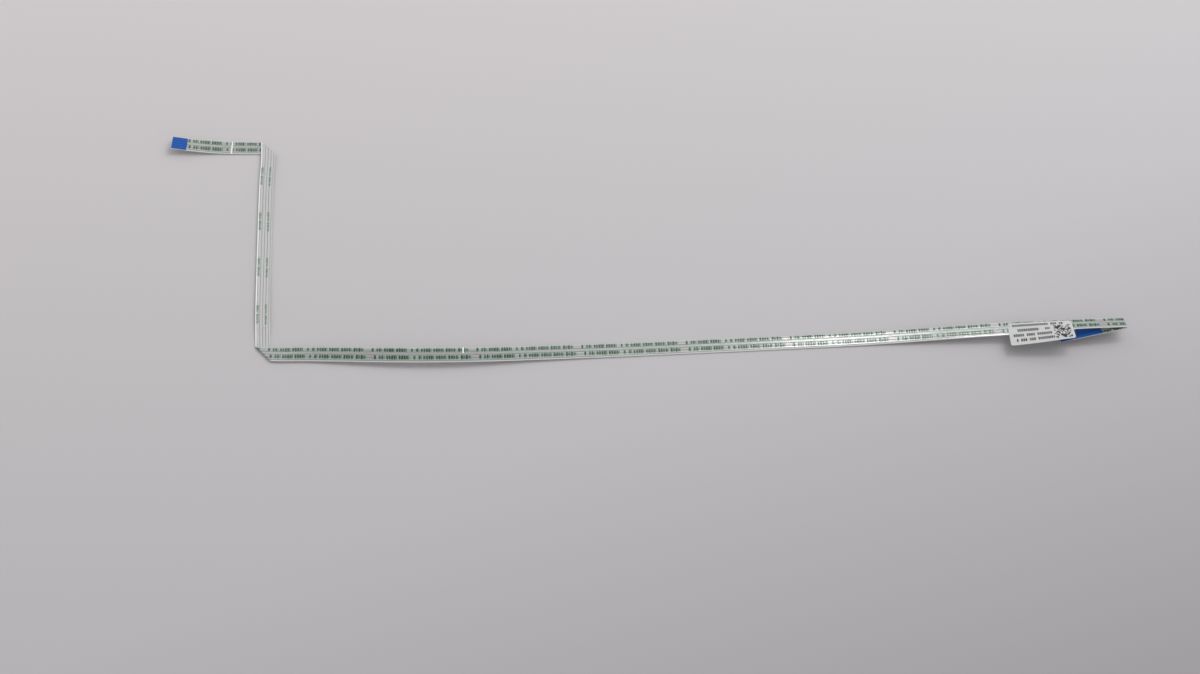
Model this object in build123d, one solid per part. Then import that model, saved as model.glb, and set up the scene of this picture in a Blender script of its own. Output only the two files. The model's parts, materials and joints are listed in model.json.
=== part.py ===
"""Flat flex cable, folded into a Z and lying on a table, in millimetres with +Z up.

Four flat conductors lie side by side between two laminated films. Each end has a
blue stiffener, and on the face opposite it the film is stripped off the contacts.
The ribbon was cut straight and then folded: twice at 45 degrees, so that it runs
off sideways, and once nearly straight back under itself at its right-hand end. A
label is stuck across the ribbon a little before that last fold.

Everything is built from one row of stations along the ribbon. A station is a line
across the ribbon with its normal, and every layer is a section lofted through the
same stations, so layers that touch share their faces exactly. In a fold the
stations lie along the crease, because that is where flat film can bend.
"""

import os
from dataclasses import dataclass
from math import atan2, ceil, cos, degrees, radians, sin, tan

from build123d import *

# Conductors
conductor_count = 4
pitch = 1.0
conductor_width = 0.7
conductor_thickness = 0.10
edge_margin = 1.0

# Films
film_over_conductor = 0.06

# Bare contacts, where one film is stripped back from the ribbon's end
contact_length = 4.0

# Stiffeners
stiffener_thickness = 0.15
stiffener_side_margin = 0.2
stiffener_tip_margin = 0.25
left_stiffener_length = 5.3
right_stiffener_length = 14.2

# Label
label_length = 21.6
label_width = 9.0
label_thickness = 0.10
label_corner_radius = 0.8
label_far_inset = 0.6
label_to_crease = 17.8

# Folds: radius to the middle of the ribbon, and the number of facets round a fold
fold_radius = 0.30
fold_facets = 8
straight_at_fold = 5.0
clear_of_fold = 3.1
under_fold_radius = 0.30
under_fold_skew = -2.1
tail_length = 22.6

# Longest step between stations on the gently curved legs
station_step = 10.0

# Sizes that follow from the ones above
ribbon_width = (conductor_count - 1) * pitch + 2 * edge_margin
half_width = ribbon_width / 2
half_conductor = conductor_thickness / 2
half_ribbon = half_conductor + film_over_conductor
conductor_offsets = [(index - (conductor_count - 1) / 2) * pitch for index in range(conductor_count)]

# Routes of the legs between the folds, each point with x, y, height of the ribbon's
# middle above the table, and roll in degrees (positive lifts the left-hand edge)
arm_route = [
    (-166.2, 42.25, 2.70, 0.0),
    (-162.2, 41.98, 2.05, 0.0),
    (-158.2, 41.71, 1.40, 0.0),
    (-150.0, 41.50, 0.45, 3.0),
    (-142.0, 41.40, half_ribbon, 0.0),
    (-132.5, 41.40, half_ribbon, 0.0),
]
upright_route = [
    (-131.45, 29.0, 0.62, 0.0),
    (-130.85, 15.5, 0.45, -3.0),
    (-130.10, 1.5, 0.42, -5.0),
    (-129.35, -13.0, 0.36, -4.0),
    (-128.50, -26.5, 0.20, -1.0),
    (-127.95, -34.0, half_ribbon, 0.0),
    (-127.45, -40.1, half_ribbon, 0.0),
]
long_route = [
    (-113.5, -41.00, 0.95, 9.0),
    (-101.0, -41.50, 1.65, 13.0),
    (-87.5, -42.10, 2.45, 15.0),
    (-73.5, -42.40, 2.90, 15.0),
    (-60.0, -42.15, 2.65, 13.0),
    (-46.5, -41.45, 1.80, 10.0),
    (-33.0, -40.55, 1.00, 7.0),
    (-19.5, -39.80, 0.50, 4.0),
    (-3.0, -39.00, half_ribbon, 0.0),
    (32.5, -37.22, half_ribbon, 0.0),
    (68.0, -35.40, half_ribbon, 0.0),
    (82.0, -34.60, 0.50, -2.0),
    (96.0, -33.85, 1.30, -3.0),
    (110.0, -33.15, 2.10, -4.0),
    (122.5, -32.60, 2.90, -5.0),
    (135.0, -32.05, 3.75, -12.0),
    (147.0, -31.50, 4.50, -24.0),
    (156.0, -31.20, 4.75, -25.0),
    (165.3, -30.95, 4.90, -25.0),
]


@dataclass
class Station:
    """A line across the ribbon: its middle, its direction, its normal, and its distance along."""

    origin: Vector
    across: Vector
    normal: Vector
    distance: float

    def at(self, offset, height):
        """Return the point at an offset across the ribbon and a height off its middle layer."""
        return self.origin + self.across * offset + self.normal * height

    def towards(self, other, share):
        """Return the station that lies the given share of the way to another one."""
        return Station(
            self.origin + (other.origin - self.origin) * share,
            self.across + (other.across - self.across) * share,
            self.normal + (other.normal - self.normal) * share,
            self.distance + (other.distance - self.distance) * share,
        )


def leg_frame(along, roll, face):
    """Return the across direction and normal of a ribbon that runs along a direction.

    face is 1 where the printed film is on top and -1 where it is underneath.
    """
    left = Vector(0, 0, 1).cross(along).normalized()
    top = along.cross(left)
    turn = radians(roll)
    across = left * cos(turn) + top * sin(turn)
    normal = top * cos(turn) - left * sin(turn)
    return across * face, normal * face


def curve_pieces(points):
    """Split a route into parabolas that touch the middle of each run, as a smooth curve does."""
    middles = [(a + b) * 0.5 for a, b in zip(points, points[1:])]
    starts = [points[0]] + middles[1:-1]
    ends = middles[1:-1] + [points[-1]]
    return list(zip(starts, points[1:-1], ends))


def leg_stations(route, face, distance):
    """Return the stations of one leg, from its first point to its last."""
    points = [Vector(x, y, z) for x, y, z, _ in route]
    rolls = [Vector(roll, 0, 0) for _, _, _, roll in route]
    stations = []
    pieces = list(zip(curve_pieces(points), curve_pieces(rolls)))
    for index, ((a, b, c), (ra, rb, rc)) in enumerate(pieces):
        steps = max(1, ceil((c - a).length / station_step))
        last = index == len(pieces) - 1
        for step in range(steps + 1 if last else steps):
            t = step / steps
            place = a * (1 - t) ** 2 + b * (2 * t * (1 - t)) + c * t**2
            along = ((b - a) * (1 - t) + (c - b) * t).normalized()
            roll = (ra * (1 - t) ** 2 + rb * (2 * t * (1 - t)) + rc * t**2).X
            if stations:
                distance += (place - stations[-1].origin).length
            across, normal = leg_frame(along, roll, face)
            stations.append(Station(place, across, normal, distance))
    return stations


@dataclass
class Crease:
    """A fold about a line across the ribbon, skewed from square by an angle in degrees.

    side is 1 where the ribbon folds towards its printed face and -1 where it folds away.
    """

    radius: float
    turn: float
    skew: float
    side: int

    def bend(self, start):
        """Return the stations round the fold, and the ribbon's direction after it."""
        along = start.across.cross(start.normal)
        skew = radians(self.skew)
        crease = start.across * cos(skew) + along * sin(skew)
        forward = along * cos(skew) - start.across * sin(skew)
        stations = []
        for step in range(fold_facets + 1):
            angle = radians(self.turn) * step / fold_facets
            ahead = forward * sin(angle) + start.normal * (self.side * (1 - cos(angle)))
            slide = crease * (self.radius * angle * tan(skew))
            normal = start.normal * cos(angle) - forward * (self.side * sin(angle))
            travel = self.radius * angle / cos(skew)
            stations.append(
                Station(
                    start.origin + ahead * self.radius + slide,
                    crease * (1 / cos(skew)),
                    normal,
                    start.distance + travel,
                )
            )
        turn = radians(self.turn)
        folded = forward * cos(turn) + start.normal * (self.side * sin(turn))
        return stations, folded * cos(skew) + crease * sin(skew)


def heading(direction):
    """Return the compass heading of a direction, in degrees from +X."""
    return degrees(atan2(direction.Y, direction.X))


def flat_crease(before, after, side):
    """Return the crease that turns the ribbon from one level direction to another."""
    change = abs(heading(after) - heading(before))
    return Crease(fold_radius, 180.0, (change - 180.0) / 2, side)


def level_run(origin, point):
    """Return the level direction from a place to a route point."""
    return Vector(point[0] - origin.X, point[1] - origin.Y, 0).normalized()


def run_on(route, origin, along):
    """Start a leg where a fold ends: its first run keeps the fold's direction."""
    ahead = origin + along * straight_at_fold
    start = [(place.X, place.Y, place.Z, 0.0) for place in (origin, ahead)]
    return start + route


def hang_tail(start, turn):
    """Fold the ribbon under itself by a turn in degrees and return the fold and the tail."""
    fold, along = Crease(under_fold_radius, turn, under_fold_skew, -1).bend(start)
    last = fold[-1]
    across = last.normal.cross(along)
    tail = [
        Station(last.origin + along * run, across, last.normal, last.distance + run)
        for run in (straight_at_fold / 2, tail_length)
    ]
    return fold, tail


def rest_tail(start):
    """Fold the ribbon under itself as far as brings a corner of its tip down to the table."""
    low_turn, high_turn = 150.0, 180.0
    for _ in range(40):
        turn = (low_turn + high_turn) / 2
        tip = hang_tail(start, turn)[1][-1]
        if min(tip.at(-half_width, 0).Z, tip.at(half_width, 0).Z) < 0:
            low_turn = turn
        else:
            high_turn = turn
    return hang_tail(start, high_turn)


def lay_ribbon():
    """Return every station of the ribbon, from its left-hand end to its right-hand end."""
    arm = leg_stations(arm_route, 1, 0.0)
    before = arm[-1].across.cross(arm[-1].normal)
    crease = flat_crease(before, level_run(arm[-1].origin, upright_route[0]), 1)
    first_fold, along = crease.bend(arm[-1])

    route = run_on(upright_route, first_fold[-1].origin, along)
    upright = leg_stations(route, -1, first_fold[-1].distance)
    before = upright[-1].across.cross(upright[-1].normal)
    crease = flat_crease(before, level_run(upright[-1].origin, long_route[0]), -1)
    second_fold, along = crease.bend(upright[-1])

    route = run_on(long_route, second_fold[-1].origin, along)
    long_leg = leg_stations(route, 1, second_fold[-1].distance)
    under_fold, tail = rest_tail(long_leg[-1])

    folds = first_fold + second_fold + under_fold
    legs = [
        station
        for station in arm + upright + long_leg
        if all(abs(station.distance - place.distance) > clear_of_fold for place in folds)
    ]
    row = sorted(legs + folds + tail, key=lambda station: station.distance)
    return row, under_fold[0].distance


def stretch(stations, start, end):
    """Return the stations from one distance along the ribbon to another, cut at both."""
    cut = []
    for before, after in zip(stations, stations[1:]):
        for distance in (start, end):
            if before.distance < distance < after.distance:
                share = (distance - before.distance) / (after.distance - before.distance)
                cut.append(before.towards(after, share))
    inside = [station for station in stations if start <= station.distance <= end]
    return sorted(inside + cut, key=lambda station: station.distance)


def side_face(a, b, c, d):
    """Return the face between two straight edges, a to b and d to c: flat where they allow it."""
    if abs((b - a).cross(c - a).dot(d - a)) < 1e-6:
        return Face(Wire.make_polygon([a, b, c, d], close=True))
    return Face.make_surface_from_curves(Edge.make_line(a, b), Edge.make_line(d, c))


def carry_section(stations, section):
    """Carry a closed section of offsets and heights straight from each station to the next."""
    rows = [[station.at(offset, height) for offset, height in section] for station in stations]
    faces = [Face(Wire.make_polygon(row, close=True)) for row in (rows[0], rows[-1])]
    for row, following in zip(rows, rows[1:]):
        for corner in range(len(section)):
            before = corner - 1
            faces.append(side_face(row[before], row[corner], following[corner], following[before]))
    return Solid(Shell(faces))


def film_section(face):
    """Return one film's section, with a pocket round its half of each conductor."""
    inner = []
    for offset in conductor_offsets:
        left, right = offset - conductor_width / 2, offset + conductor_width / 2
        depth = face * half_conductor
        inner += [(left, 0), (left, depth), (right, depth), (right, 0)]
    outer = [(offset, face * half_ribbon) for offset in reversed(conductor_offsets)]
    return (
        [(-half_width, 0)]
        + inner
        + [(half_width, 0), (half_width, face * half_ribbon)]
        + outer
        + [(-half_width, face * half_ribbon)]
    )


def flat_section(low_offset, high_offset, low_height, high_height):
    """Return the section of a flat strip between two offsets and two heights."""
    return [
        (low_offset, low_height),
        (high_offset, low_height),
        (high_offset, high_height),
        (low_offset, high_height),
    ]


def pliant_section(low_offset, high_offset, low_height, high_height):
    """Return a flat strip's section divided at the middles of the conductors, as the films are.

    A wide strip on a twisted stretch of ribbon needs this to follow it as the films do.
    """
    lines = [conductor_offsets[0] + pitch * step for step in range(-9, 9)]
    across = [low_offset] + [line for line in lines if low_offset < line < high_offset] + [high_offset]
    return [(offset, low_height) for offset in across] + [
        (offset, high_height) for offset in reversed(across)
    ]


def corner_cutter(station, turn, offset):
    """Return the waste outside one rounded corner of the label, at an offset on a station."""
    along = station.across.cross(station.normal)
    place = Plane(station.at(offset, half_ribbon), x_dir=along, z_dir=station.normal)
    radius = label_corner_radius
    depth = label_thickness * 4
    waste = Pos(radius / 2, radius / 2, 0) * Box(radius, radius, depth)
    waste -= Pos(radius, radius, 0) * Cylinder(radius, depth)
    return place * Rot(0, 0, turn) * waste


stations, under_crease = lay_ribbon()
ribbon_length = stations[-1].distance

# Films, each stripped back from the contacts at one end
printed_film = carry_section(stretch(stations, 0, ribbon_length - contact_length), film_section(1))
plain_film = carry_section(stretch(stations, contact_length, ribbon_length), film_section(-1))

# Conductors, the whole length of the ribbon
conductors = []
for offset in conductor_offsets:
    left, right = offset - conductor_width / 2, offset + conductor_width / 2
    section = flat_section(left, right, -half_conductor, half_conductor)
    conductors.append(carry_section(stations, section))

# Stiffeners, the left-hand one on the printed face and the right-hand one on the plain face
stiffener_half = half_width - stiffener_side_margin
left_stiffener = carry_section(
    stretch(stations, stiffener_tip_margin, stiffener_tip_margin + left_stiffener_length),
    flat_section(-stiffener_half, stiffener_half, half_ribbon, half_ribbon + stiffener_thickness),
)
right_stiffener_end = ribbon_length - stiffener_tip_margin
right_stiffener = carry_section(
    stretch(stations, right_stiffener_end - right_stiffener_length, right_stiffener_end),
    flat_section(-stiffener_half, stiffener_half, -half_ribbon - stiffener_thickness, -half_ribbon),
)

# Label, on the printed face and overhanging the ribbon's near edge
label_end = under_crease - label_to_crease
label_far = half_width - label_far_inset
label_near = label_far - label_width
label_stations = stretch(stations, label_end - label_length, label_end)
label = carry_section(
    label_stations,
    pliant_section(label_near, label_far, half_ribbon, half_ribbon + label_thickness),
)
for station, turn, offset in (
    (label_stations[0], 0, label_near),
    (label_stations[-1], 90, label_near),
    (label_stations[-1], 180, label_far),
    (label_stations[0], 270, label_far),
):
    label -= corner_cutter(station, turn, offset)

nodes = {
    "printed_film": printed_film,
    "plain_film": plain_film,
    "left_stiffener": left_stiffener,
    "right_stiffener": right_stiffener,
    "label": label,
}
for index, conductor in enumerate(conductors):
    nodes[f"conductor_{index + 1}"] = conductor

# The origin is the middle of the whole, at the table
boxes = [shape.bounding_box() for shape in nodes.values()]
middle = Vector(
    (min(box.min.X for box in boxes) + max(box.max.X for box in boxes)) / 2,
    (min(box.min.Y for box in boxes) + max(box.max.Y for box in boxes)) / 2,
    min(box.min.Z for box in boxes),
)
os.makedirs("parts", exist_ok=True)
for name, shape in nodes.items():
    export_step(shape.moved(Location(-middle)), f"parts/{name}.step")
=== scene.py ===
"""Looks of a flat flex cable that lies folded into a Z on a pale table.

The ribbon is drawn flat first, in millimetres along it and across it, and every piece
is then carried to its place by one route: three gently curved legs, two skewed folds
and a last fold back under. All pieces share that route, so they stay bonded to each
other in the folds as the laminate does.
"""

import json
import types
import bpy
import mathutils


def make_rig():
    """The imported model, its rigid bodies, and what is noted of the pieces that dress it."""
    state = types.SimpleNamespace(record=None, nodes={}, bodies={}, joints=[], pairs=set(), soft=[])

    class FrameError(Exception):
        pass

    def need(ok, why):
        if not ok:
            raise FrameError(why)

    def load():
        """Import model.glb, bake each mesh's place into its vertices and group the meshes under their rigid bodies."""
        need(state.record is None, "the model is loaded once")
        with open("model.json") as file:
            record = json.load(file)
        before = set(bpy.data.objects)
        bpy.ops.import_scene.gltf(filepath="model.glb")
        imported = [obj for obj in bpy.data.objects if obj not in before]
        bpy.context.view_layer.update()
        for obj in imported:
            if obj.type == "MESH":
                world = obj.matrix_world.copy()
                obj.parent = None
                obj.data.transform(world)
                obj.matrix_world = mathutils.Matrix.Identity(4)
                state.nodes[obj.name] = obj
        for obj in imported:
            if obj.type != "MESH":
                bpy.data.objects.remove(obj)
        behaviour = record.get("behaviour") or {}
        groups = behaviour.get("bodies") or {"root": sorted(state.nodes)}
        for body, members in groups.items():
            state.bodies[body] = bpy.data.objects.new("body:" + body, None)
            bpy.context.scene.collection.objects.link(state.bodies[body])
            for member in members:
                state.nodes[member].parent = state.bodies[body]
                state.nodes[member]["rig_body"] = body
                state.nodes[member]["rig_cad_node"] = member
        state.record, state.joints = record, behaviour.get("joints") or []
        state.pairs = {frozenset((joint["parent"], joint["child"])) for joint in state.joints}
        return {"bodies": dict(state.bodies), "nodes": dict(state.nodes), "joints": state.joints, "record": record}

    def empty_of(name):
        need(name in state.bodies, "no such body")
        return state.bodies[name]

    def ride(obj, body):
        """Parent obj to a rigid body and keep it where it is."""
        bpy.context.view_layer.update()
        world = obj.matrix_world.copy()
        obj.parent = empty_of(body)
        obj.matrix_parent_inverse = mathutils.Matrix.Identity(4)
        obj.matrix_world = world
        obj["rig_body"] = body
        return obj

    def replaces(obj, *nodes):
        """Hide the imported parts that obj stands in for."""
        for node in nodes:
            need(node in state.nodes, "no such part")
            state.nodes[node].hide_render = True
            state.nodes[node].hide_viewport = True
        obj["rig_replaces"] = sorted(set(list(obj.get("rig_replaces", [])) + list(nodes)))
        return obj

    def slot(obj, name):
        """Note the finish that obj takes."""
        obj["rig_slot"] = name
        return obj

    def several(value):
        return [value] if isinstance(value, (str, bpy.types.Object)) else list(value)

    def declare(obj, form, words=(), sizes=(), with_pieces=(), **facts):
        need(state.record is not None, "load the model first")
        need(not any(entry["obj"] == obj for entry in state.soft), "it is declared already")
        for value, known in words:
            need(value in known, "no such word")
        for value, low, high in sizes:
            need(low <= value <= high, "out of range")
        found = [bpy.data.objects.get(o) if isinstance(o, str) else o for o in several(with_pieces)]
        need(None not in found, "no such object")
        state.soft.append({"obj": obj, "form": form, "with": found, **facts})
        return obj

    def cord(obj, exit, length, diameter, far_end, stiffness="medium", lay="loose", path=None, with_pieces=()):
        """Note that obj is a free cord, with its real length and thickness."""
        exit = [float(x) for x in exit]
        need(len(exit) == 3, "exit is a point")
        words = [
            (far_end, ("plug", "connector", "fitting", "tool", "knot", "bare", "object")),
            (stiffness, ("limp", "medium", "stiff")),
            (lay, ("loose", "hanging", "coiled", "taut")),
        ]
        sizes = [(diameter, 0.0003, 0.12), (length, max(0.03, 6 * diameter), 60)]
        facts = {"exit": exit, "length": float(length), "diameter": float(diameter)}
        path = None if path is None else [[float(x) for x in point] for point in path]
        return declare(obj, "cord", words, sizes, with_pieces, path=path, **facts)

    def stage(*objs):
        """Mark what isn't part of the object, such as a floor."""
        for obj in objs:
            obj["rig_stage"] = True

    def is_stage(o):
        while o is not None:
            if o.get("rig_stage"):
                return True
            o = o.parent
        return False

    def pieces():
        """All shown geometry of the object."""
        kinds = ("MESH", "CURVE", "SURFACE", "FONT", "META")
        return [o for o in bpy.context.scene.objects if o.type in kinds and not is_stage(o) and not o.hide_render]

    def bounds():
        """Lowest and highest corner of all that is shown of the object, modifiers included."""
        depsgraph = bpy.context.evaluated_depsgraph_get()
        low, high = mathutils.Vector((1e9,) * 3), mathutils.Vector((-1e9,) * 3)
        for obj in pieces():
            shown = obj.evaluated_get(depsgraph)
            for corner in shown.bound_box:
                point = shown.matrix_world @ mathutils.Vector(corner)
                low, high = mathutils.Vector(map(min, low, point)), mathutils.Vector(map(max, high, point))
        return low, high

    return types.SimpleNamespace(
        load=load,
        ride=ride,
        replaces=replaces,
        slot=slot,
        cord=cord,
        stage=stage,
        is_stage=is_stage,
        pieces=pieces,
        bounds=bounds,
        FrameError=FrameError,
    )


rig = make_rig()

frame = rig.load()
cad_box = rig.bounds()

import json
import logging
import math
from dataclasses import dataclass, field
from enum import Enum
from typing import Callable, Iterable, Sequence, Union

import bmesh
import bpy
from mathutils import Vector

logging.basicConfig(level=logging.INFO, format="%(message)s")
log = logging.getLogger("flat_cable")

Socket = bpy.types.NodeSocket
Corner = bmesh.types.BMVert

MM = 0.001

# The conductors' pitch, in mm, which is the scale of the whole cable.
PITCH = 1.0

# The height of the slight waves in the films and conductors, in mm.
WAVE_DEPTH = 0.016

# The UV map that keeps each point's place on the flat ribbon, in mm.
FLAT_MAP = "flat_mm"

# The route is written about the middle of the picture's object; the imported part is
# centred on its own box, which lies this far from it, in mm.
TO_BOX_CENTRE = Vector((0.2588, 0.0163, 0.0))


def linear(colour: str) -> tuple[float, float, float, float]:
    """Turn an sRGB hex colour into the linear values that a shader takes.

    Args:
        colour: Six hex digits after a hash.

    Returns:
        Red, green, blue and alpha, linear.
    """
    parts = [int(colour[place:place + 2], 16) / 255 for place in (1, 3, 5)]
    red, green, blue = (
        part / 12.92 if part <= 0.04045 else ((part + 0.055) / 1.055) ** 2.4 for part in parts
    )
    return red, green, blue, 1.0


# ---------------------------------------------------------------- ribbon and route


@dataclass(frozen=True)
class Section:
    """The ribbon's section across its width, in mm, with heights off its middle layer.

    Flank is how far the film's slope beside a conductor reaches each way from the
    conductor's edge, and dip how far the film comes down there. The pocket round a
    conductor turns down between its two play distances, and the ribbon's edges are
    rounded over the last edge millimetres, at edge_slope.
    """

    width: float = 5.0
    offsets: tuple[float, ...] = (-1.5 * PITCH, -0.5 * PITCH, 0.5 * PITCH, 1.5 * PITCH)
    conductor_width: float = 0.7
    conductor_half: float = 0.05
    half: float = 0.11
    dip: float = 0.028
    flank: float = 0.10
    play: tuple[float, float] = (0.002, 0.012)
    edge_line: float = 0.06
    edge: float = 0.07
    edge_slope: float = 0.35

    def lines(self) -> list[float]:
        """Give the offsets across the ribbon at which its surface turns.

        Returns:
            The offsets, in order.
        """
        reach = self.conductor_width / 2
        lines = [-self.width / 2 + self.edge_line, self.width / 2 - self.edge_line]
        for offset in self.offsets:
            for step in (-self.flank, *self.play, self.flank):
                lines += [offset - (reach + step), offset + (reach + step)]
        return sorted(lines)

    def past_conductor(self, offset: float) -> float:
        """Say how far a place lies outside the nearest conductor's edge, in mm."""
        return min(abs(offset - place) for place in self.offsets) - self.conductor_width / 2

    def over_conductor(self, offset: float) -> float:
        """Say how far a place lies over a conductor: 1 over it, 0 between two."""
        share = (self.flank - self.past_conductor(offset)) / (2 * self.flank)
        return max(0.0, min(1.0, share))

    def pocket(self, offset: float) -> float:
        """Give the height of the film's inner face, which makes room for a conductor."""
        inside = self.past_conductor(offset) < sum(self.play) / 2
        return self.conductor_half if inside else 0.0

    def surface(self, offset: float) -> float:
        """Give the height of the film's outer face, pressed down between conductors.

        Args:
            offset: Offset across the ribbon, in mm.

        Returns:
            The height, in mm.
        """
        dip = self.dip * (1 - self.over_conductor(offset))
        rounded = max(0.0, abs(offset) - (self.width / 2 - self.edge)) * self.edge_slope
        return self.half - dip - rounded


@dataclass(frozen=True)
class Placing:
    """One line across the ribbon: its middle, its direction and its normal, in mm."""

    origin: Vector
    across: Vector
    normal: Vector

    @property
    def along(self) -> Vector:
        """The direction in which the ribbon runs."""
        return self.across.cross(self.normal)

    def point(self, run: float, offset: float, height: float) -> Vector:
        """Place a point of flat ribbon that lies on from this line."""
        return self.origin + self.along * run + self.across * offset + self.normal * height


def read_spline(name: str, rows: Sequence[Sequence[float]], resolution: int) -> list[Vector]:
    """Read points along the smooth NURBS line that has some points as its control points.

    Args:
        name: Name for the curve while it exists.
        rows: The control points.
        resolution: Points per run of the line.

    Returns:
        Points along the line, from its first control point to its last.
    """
    curve = bpy.data.curves.new(name, "CURVE")
    curve.dimensions = "3D"
    curve.resolution_u = resolution
    spline = curve.splines.new("NURBS")
    spline.points.add(len(rows) - 1)
    for point, row in zip(spline.points, rows):
        point.co = (row[0], row[1], row[2], 1.0)
    spline.order_u = 3
    spline.use_endpoint_u = True
    spline.resolution_u = resolution
    holder = bpy.data.objects.new(name, curve)
    mesh = bpy.data.meshes.new_from_object(holder)
    places = [vertex.co.copy() for vertex in mesh.vertices]
    bpy.data.meshes.remove(mesh)
    bpy.data.objects.remove(holder)
    bpy.data.curves.remove(curve)
    return places


@dataclass
class Leg:
    """A gently curved stretch of the ribbon between two folds.

    Each row of the route is a point in mm and the ribbon's roll there, in degrees, and
    printed_side is 1 where the printed face is up and -1 where it is down.
    """

    name: str
    route: list[tuple[float, float, float, float]]
    printed_side: int
    start: float = 0.0
    placings: list[Placing] = field(default_factory=list)
    runs: list[float] = field(default_factory=list)
    resolution: int = 10

    def lay(self, start: float) -> None:
        """Lay the leg along its route.

        Args:
            start: Distance along the ribbon at which the leg begins.
        """
        self.start = start
        points, turns = [row[:3] for row in self.route], [(row[3], 0, 0) for row in self.route]
        line = read_spline(f"{self.name}_route", points, self.resolution)
        rolls = read_spline(f"{self.name}_roll", turns, self.resolution)
        first = Vector(self.route[1][:3]) - Vector(self.route[0][:3])
        last = Vector(self.route[-1][:3]) - Vector(self.route[-2][:3])
        self.runs = [0.0]
        for place, following in zip(line, line[1:]):
            self.runs.append(self.runs[-1] + (following - place).length)
        for index, (place, roll) in enumerate(zip(line, rolls)):
            if index == 0:
                along = first.normalized()
            elif index == len(line) - 1:
                along = last.normalized()
            else:
                along = (line[index + 1] - line[index - 1]).normalized()
            left = Vector((0, 0, 1)).cross(along).normalized()
            top = along.cross(left)
            turn = math.radians(roll.x)
            across = left * math.cos(turn) + top * math.sin(turn)
            normal = top * math.cos(turn) - left * math.sin(turn)
            self.placings.append(
                Placing(place, across * self.printed_side, normal * self.printed_side)
            )

    @property
    def end(self) -> float:
        """The distance along the ribbon at which the leg ends."""
        return self.start + self.runs[-1]

    def point(self, distance: float, offset: float, height: float) -> Vector:
        """Place a point of the ribbon that lies on this leg.

        Args:
            distance: Distance along the ribbon, in mm.
            offset: Offset across it, in mm.
            height: Height off its middle layer, in mm.

        Returns:
            The point, in mm.
        """
        run = distance - self.start
        if run <= 0:
            return self.placings[0].point(run, offset, height)
        if run >= self.runs[-1]:
            return self.placings[-1].point(run - self.runs[-1], offset, height)
        index = next(step for step, reach in enumerate(self.runs) if reach > run) - 1
        span = self.runs[index + 1] - self.runs[index]
        share = (run - self.runs[index]) / span
        before, after = self.placings[index], self.placings[index + 1]
        origin = before.origin.lerp(after.origin, share)
        across = before.across.lerp(after.across, share)
        normal = before.normal.lerp(after.normal, share)
        return origin + across * offset + normal * height


@dataclass
class Fold:
    """A fold about a line across the ribbon, skewed from square.

    side is 1 where the ribbon folds towards its printed face and -1 where it folds away.
    Angles are in degrees and lengths in mm.
    """

    radius: float
    turn: float
    skew: float
    side: int
    before: Placing
    begin: float

    @property
    def crease(self) -> Vector:
        """The direction of the crease."""
        skew = math.radians(self.skew)
        return self.before.across * math.cos(skew) + self.before.along * math.sin(skew)

    @property
    def forward(self) -> Vector:
        """The direction square to the crease, before the fold."""
        skew = math.radians(self.skew)
        return self.before.along * math.cos(skew) - self.before.across * math.sin(skew)

    @property
    def width(self) -> float:
        """The width of the bent strip of film, measured square to the crease."""
        return self.radius * math.radians(self.turn)

    @property
    def end(self) -> float:
        """The distance along the ribbon at which its middle leaves the fold."""
        return self.begin + self.width / math.cos(math.radians(self.skew))

    def depth(self, distance: float, offset: float) -> float:
        """Say how far past the fold's first line a point of flat ribbon lies, in mm."""
        skew = math.radians(self.skew)
        return (distance - self.begin) * math.cos(skew) - offset * math.sin(skew)

    def point(self, distance: float, offset: float, height: float) -> Vector:
        """Place a point of the ribbon that lies in the fold.

        Args:
            distance: Distance along the ribbon, in mm.
            offset: Offset across it, in mm.
            height: Height off its middle layer, in mm.

        Returns:
            The point, in mm.
        """
        skew = math.radians(self.skew)
        angle = self.depth(distance, offset) / self.radius
        along_crease = (distance - self.begin) * math.sin(skew) + offset * math.cos(skew)
        middle = (
            self.before.origin
            + self.forward * (self.radius * math.sin(angle))
            + self.before.normal * (self.side * self.radius * (1 - math.cos(angle)))
            + self.crease * along_crease
        )
        turned = self.forward * (self.side * math.sin(angle))
        return middle + (self.before.normal * math.cos(angle) - turned) * height

    def after(self) -> Placing:
        """Work out where the ribbon's middle leaves the fold.

        Returns:
            The ribbon's placing there.
        """
        turn, skew = math.radians(self.turn), math.radians(self.skew)
        ahead = self.forward * math.cos(turn) + self.before.normal * (self.side * math.sin(turn))
        normal = self.before.normal * math.cos(turn) - self.forward * (self.side * math.sin(turn))
        across = self.crease * math.cos(skew) - ahead * math.sin(skew)
        return Placing(self.point(self.end, 0.0, 0.0), across, normal)


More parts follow.
